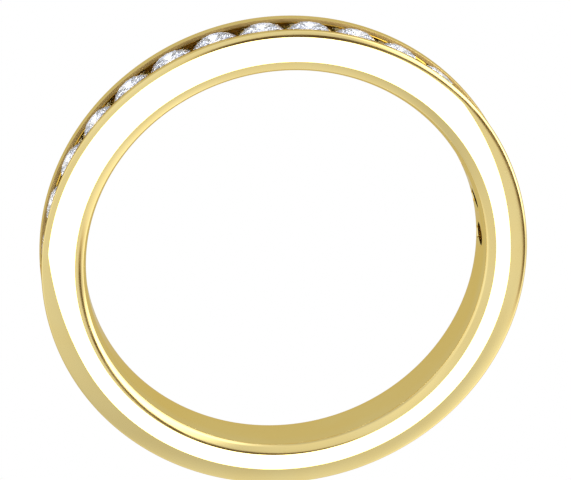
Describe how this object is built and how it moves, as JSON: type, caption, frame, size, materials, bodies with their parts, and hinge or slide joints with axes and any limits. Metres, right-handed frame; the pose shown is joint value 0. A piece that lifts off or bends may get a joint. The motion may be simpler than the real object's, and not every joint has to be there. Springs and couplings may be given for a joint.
{
  "type": "channel set band",
  "caption": "Polished yellow gold finger ring with a row of round brilliants held between two rails in a channel over half of its rim.",
  "frame": {"origin": "on the rim's axis, in the plane of the lower side face, on which it lies", "axes": "+Z along the finger, out of the pictured side face; +Y from the axis to the middle of the stone row; +X to the picture's right"},
  "size_m": [0.021, 0.021, 0.0023],
  "materials": {
    "gold": "polished",
    "diamond": "faceted and clear"
  },
  "bodies": {
    "root": {"band": "gold", "stone_01": "diamond", "stone_02": "diamond", "stone_03": "diamond", "stone_04": "diamond", "stone_05": "diamond", "stone_06": "diamond", "stone_07": "diamond", "stone_08": "diamond", "stone_09": "diamond", "stone_10": "diamond", "stone_11": "diamond", "stone_12": "diamond", "stone_13": "diamond", "stone_14": "diamond", "stone_15": "diamond", "stone_16": "diamond"}
  },
  "joints": []
}
